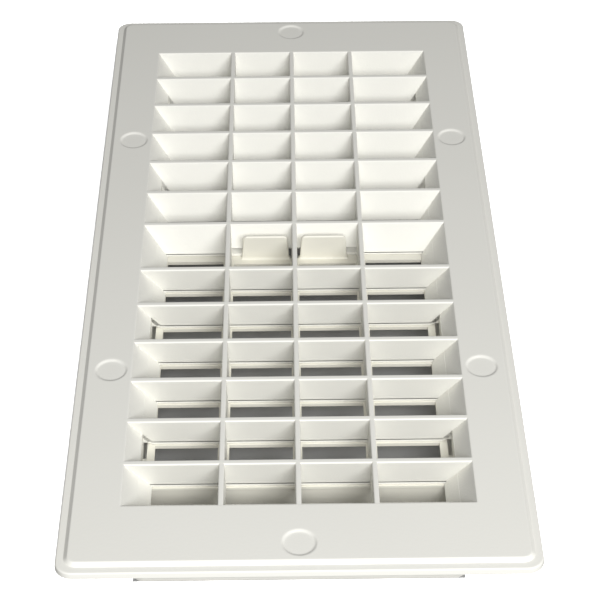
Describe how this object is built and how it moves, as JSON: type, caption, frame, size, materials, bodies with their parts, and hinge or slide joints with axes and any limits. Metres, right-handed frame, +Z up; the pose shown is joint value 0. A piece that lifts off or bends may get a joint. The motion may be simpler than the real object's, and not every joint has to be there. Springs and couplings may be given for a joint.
{
  "type": "vent register",
  "caption": "Rectangular floor vent register: a stepped plate with leaning fixed blades and long cross ribs, and a slotted damper under them that slides by finger tabs.",
  "frame": {"origin": "centre of the plate's underside, in the plane that rests on the floor, on the duct's centre line", "axes": "+Z up out of the floor through the blades, +Y along the plate's length away from the viewer of the picture, +X to the right"},
  "size_m": [0.136, 0.292, 0.0254],
  "materials": {
    "plate_plastic": "fine moulded texture, satin",
    "damper_plastic": "smooth, satin, a little creamier"
  },
  "bodies": {
    "register": {"register_body": "plate_plastic"},
    "damper": {"damper": "damper_plastic"}
  },
  "joints": [
    {"name": "damper_slide", "type": "slide", "parent": "register", "child": "damper", "axis": [0, -1, 0], "range_m": [0, 0.0086]}
  ]
}
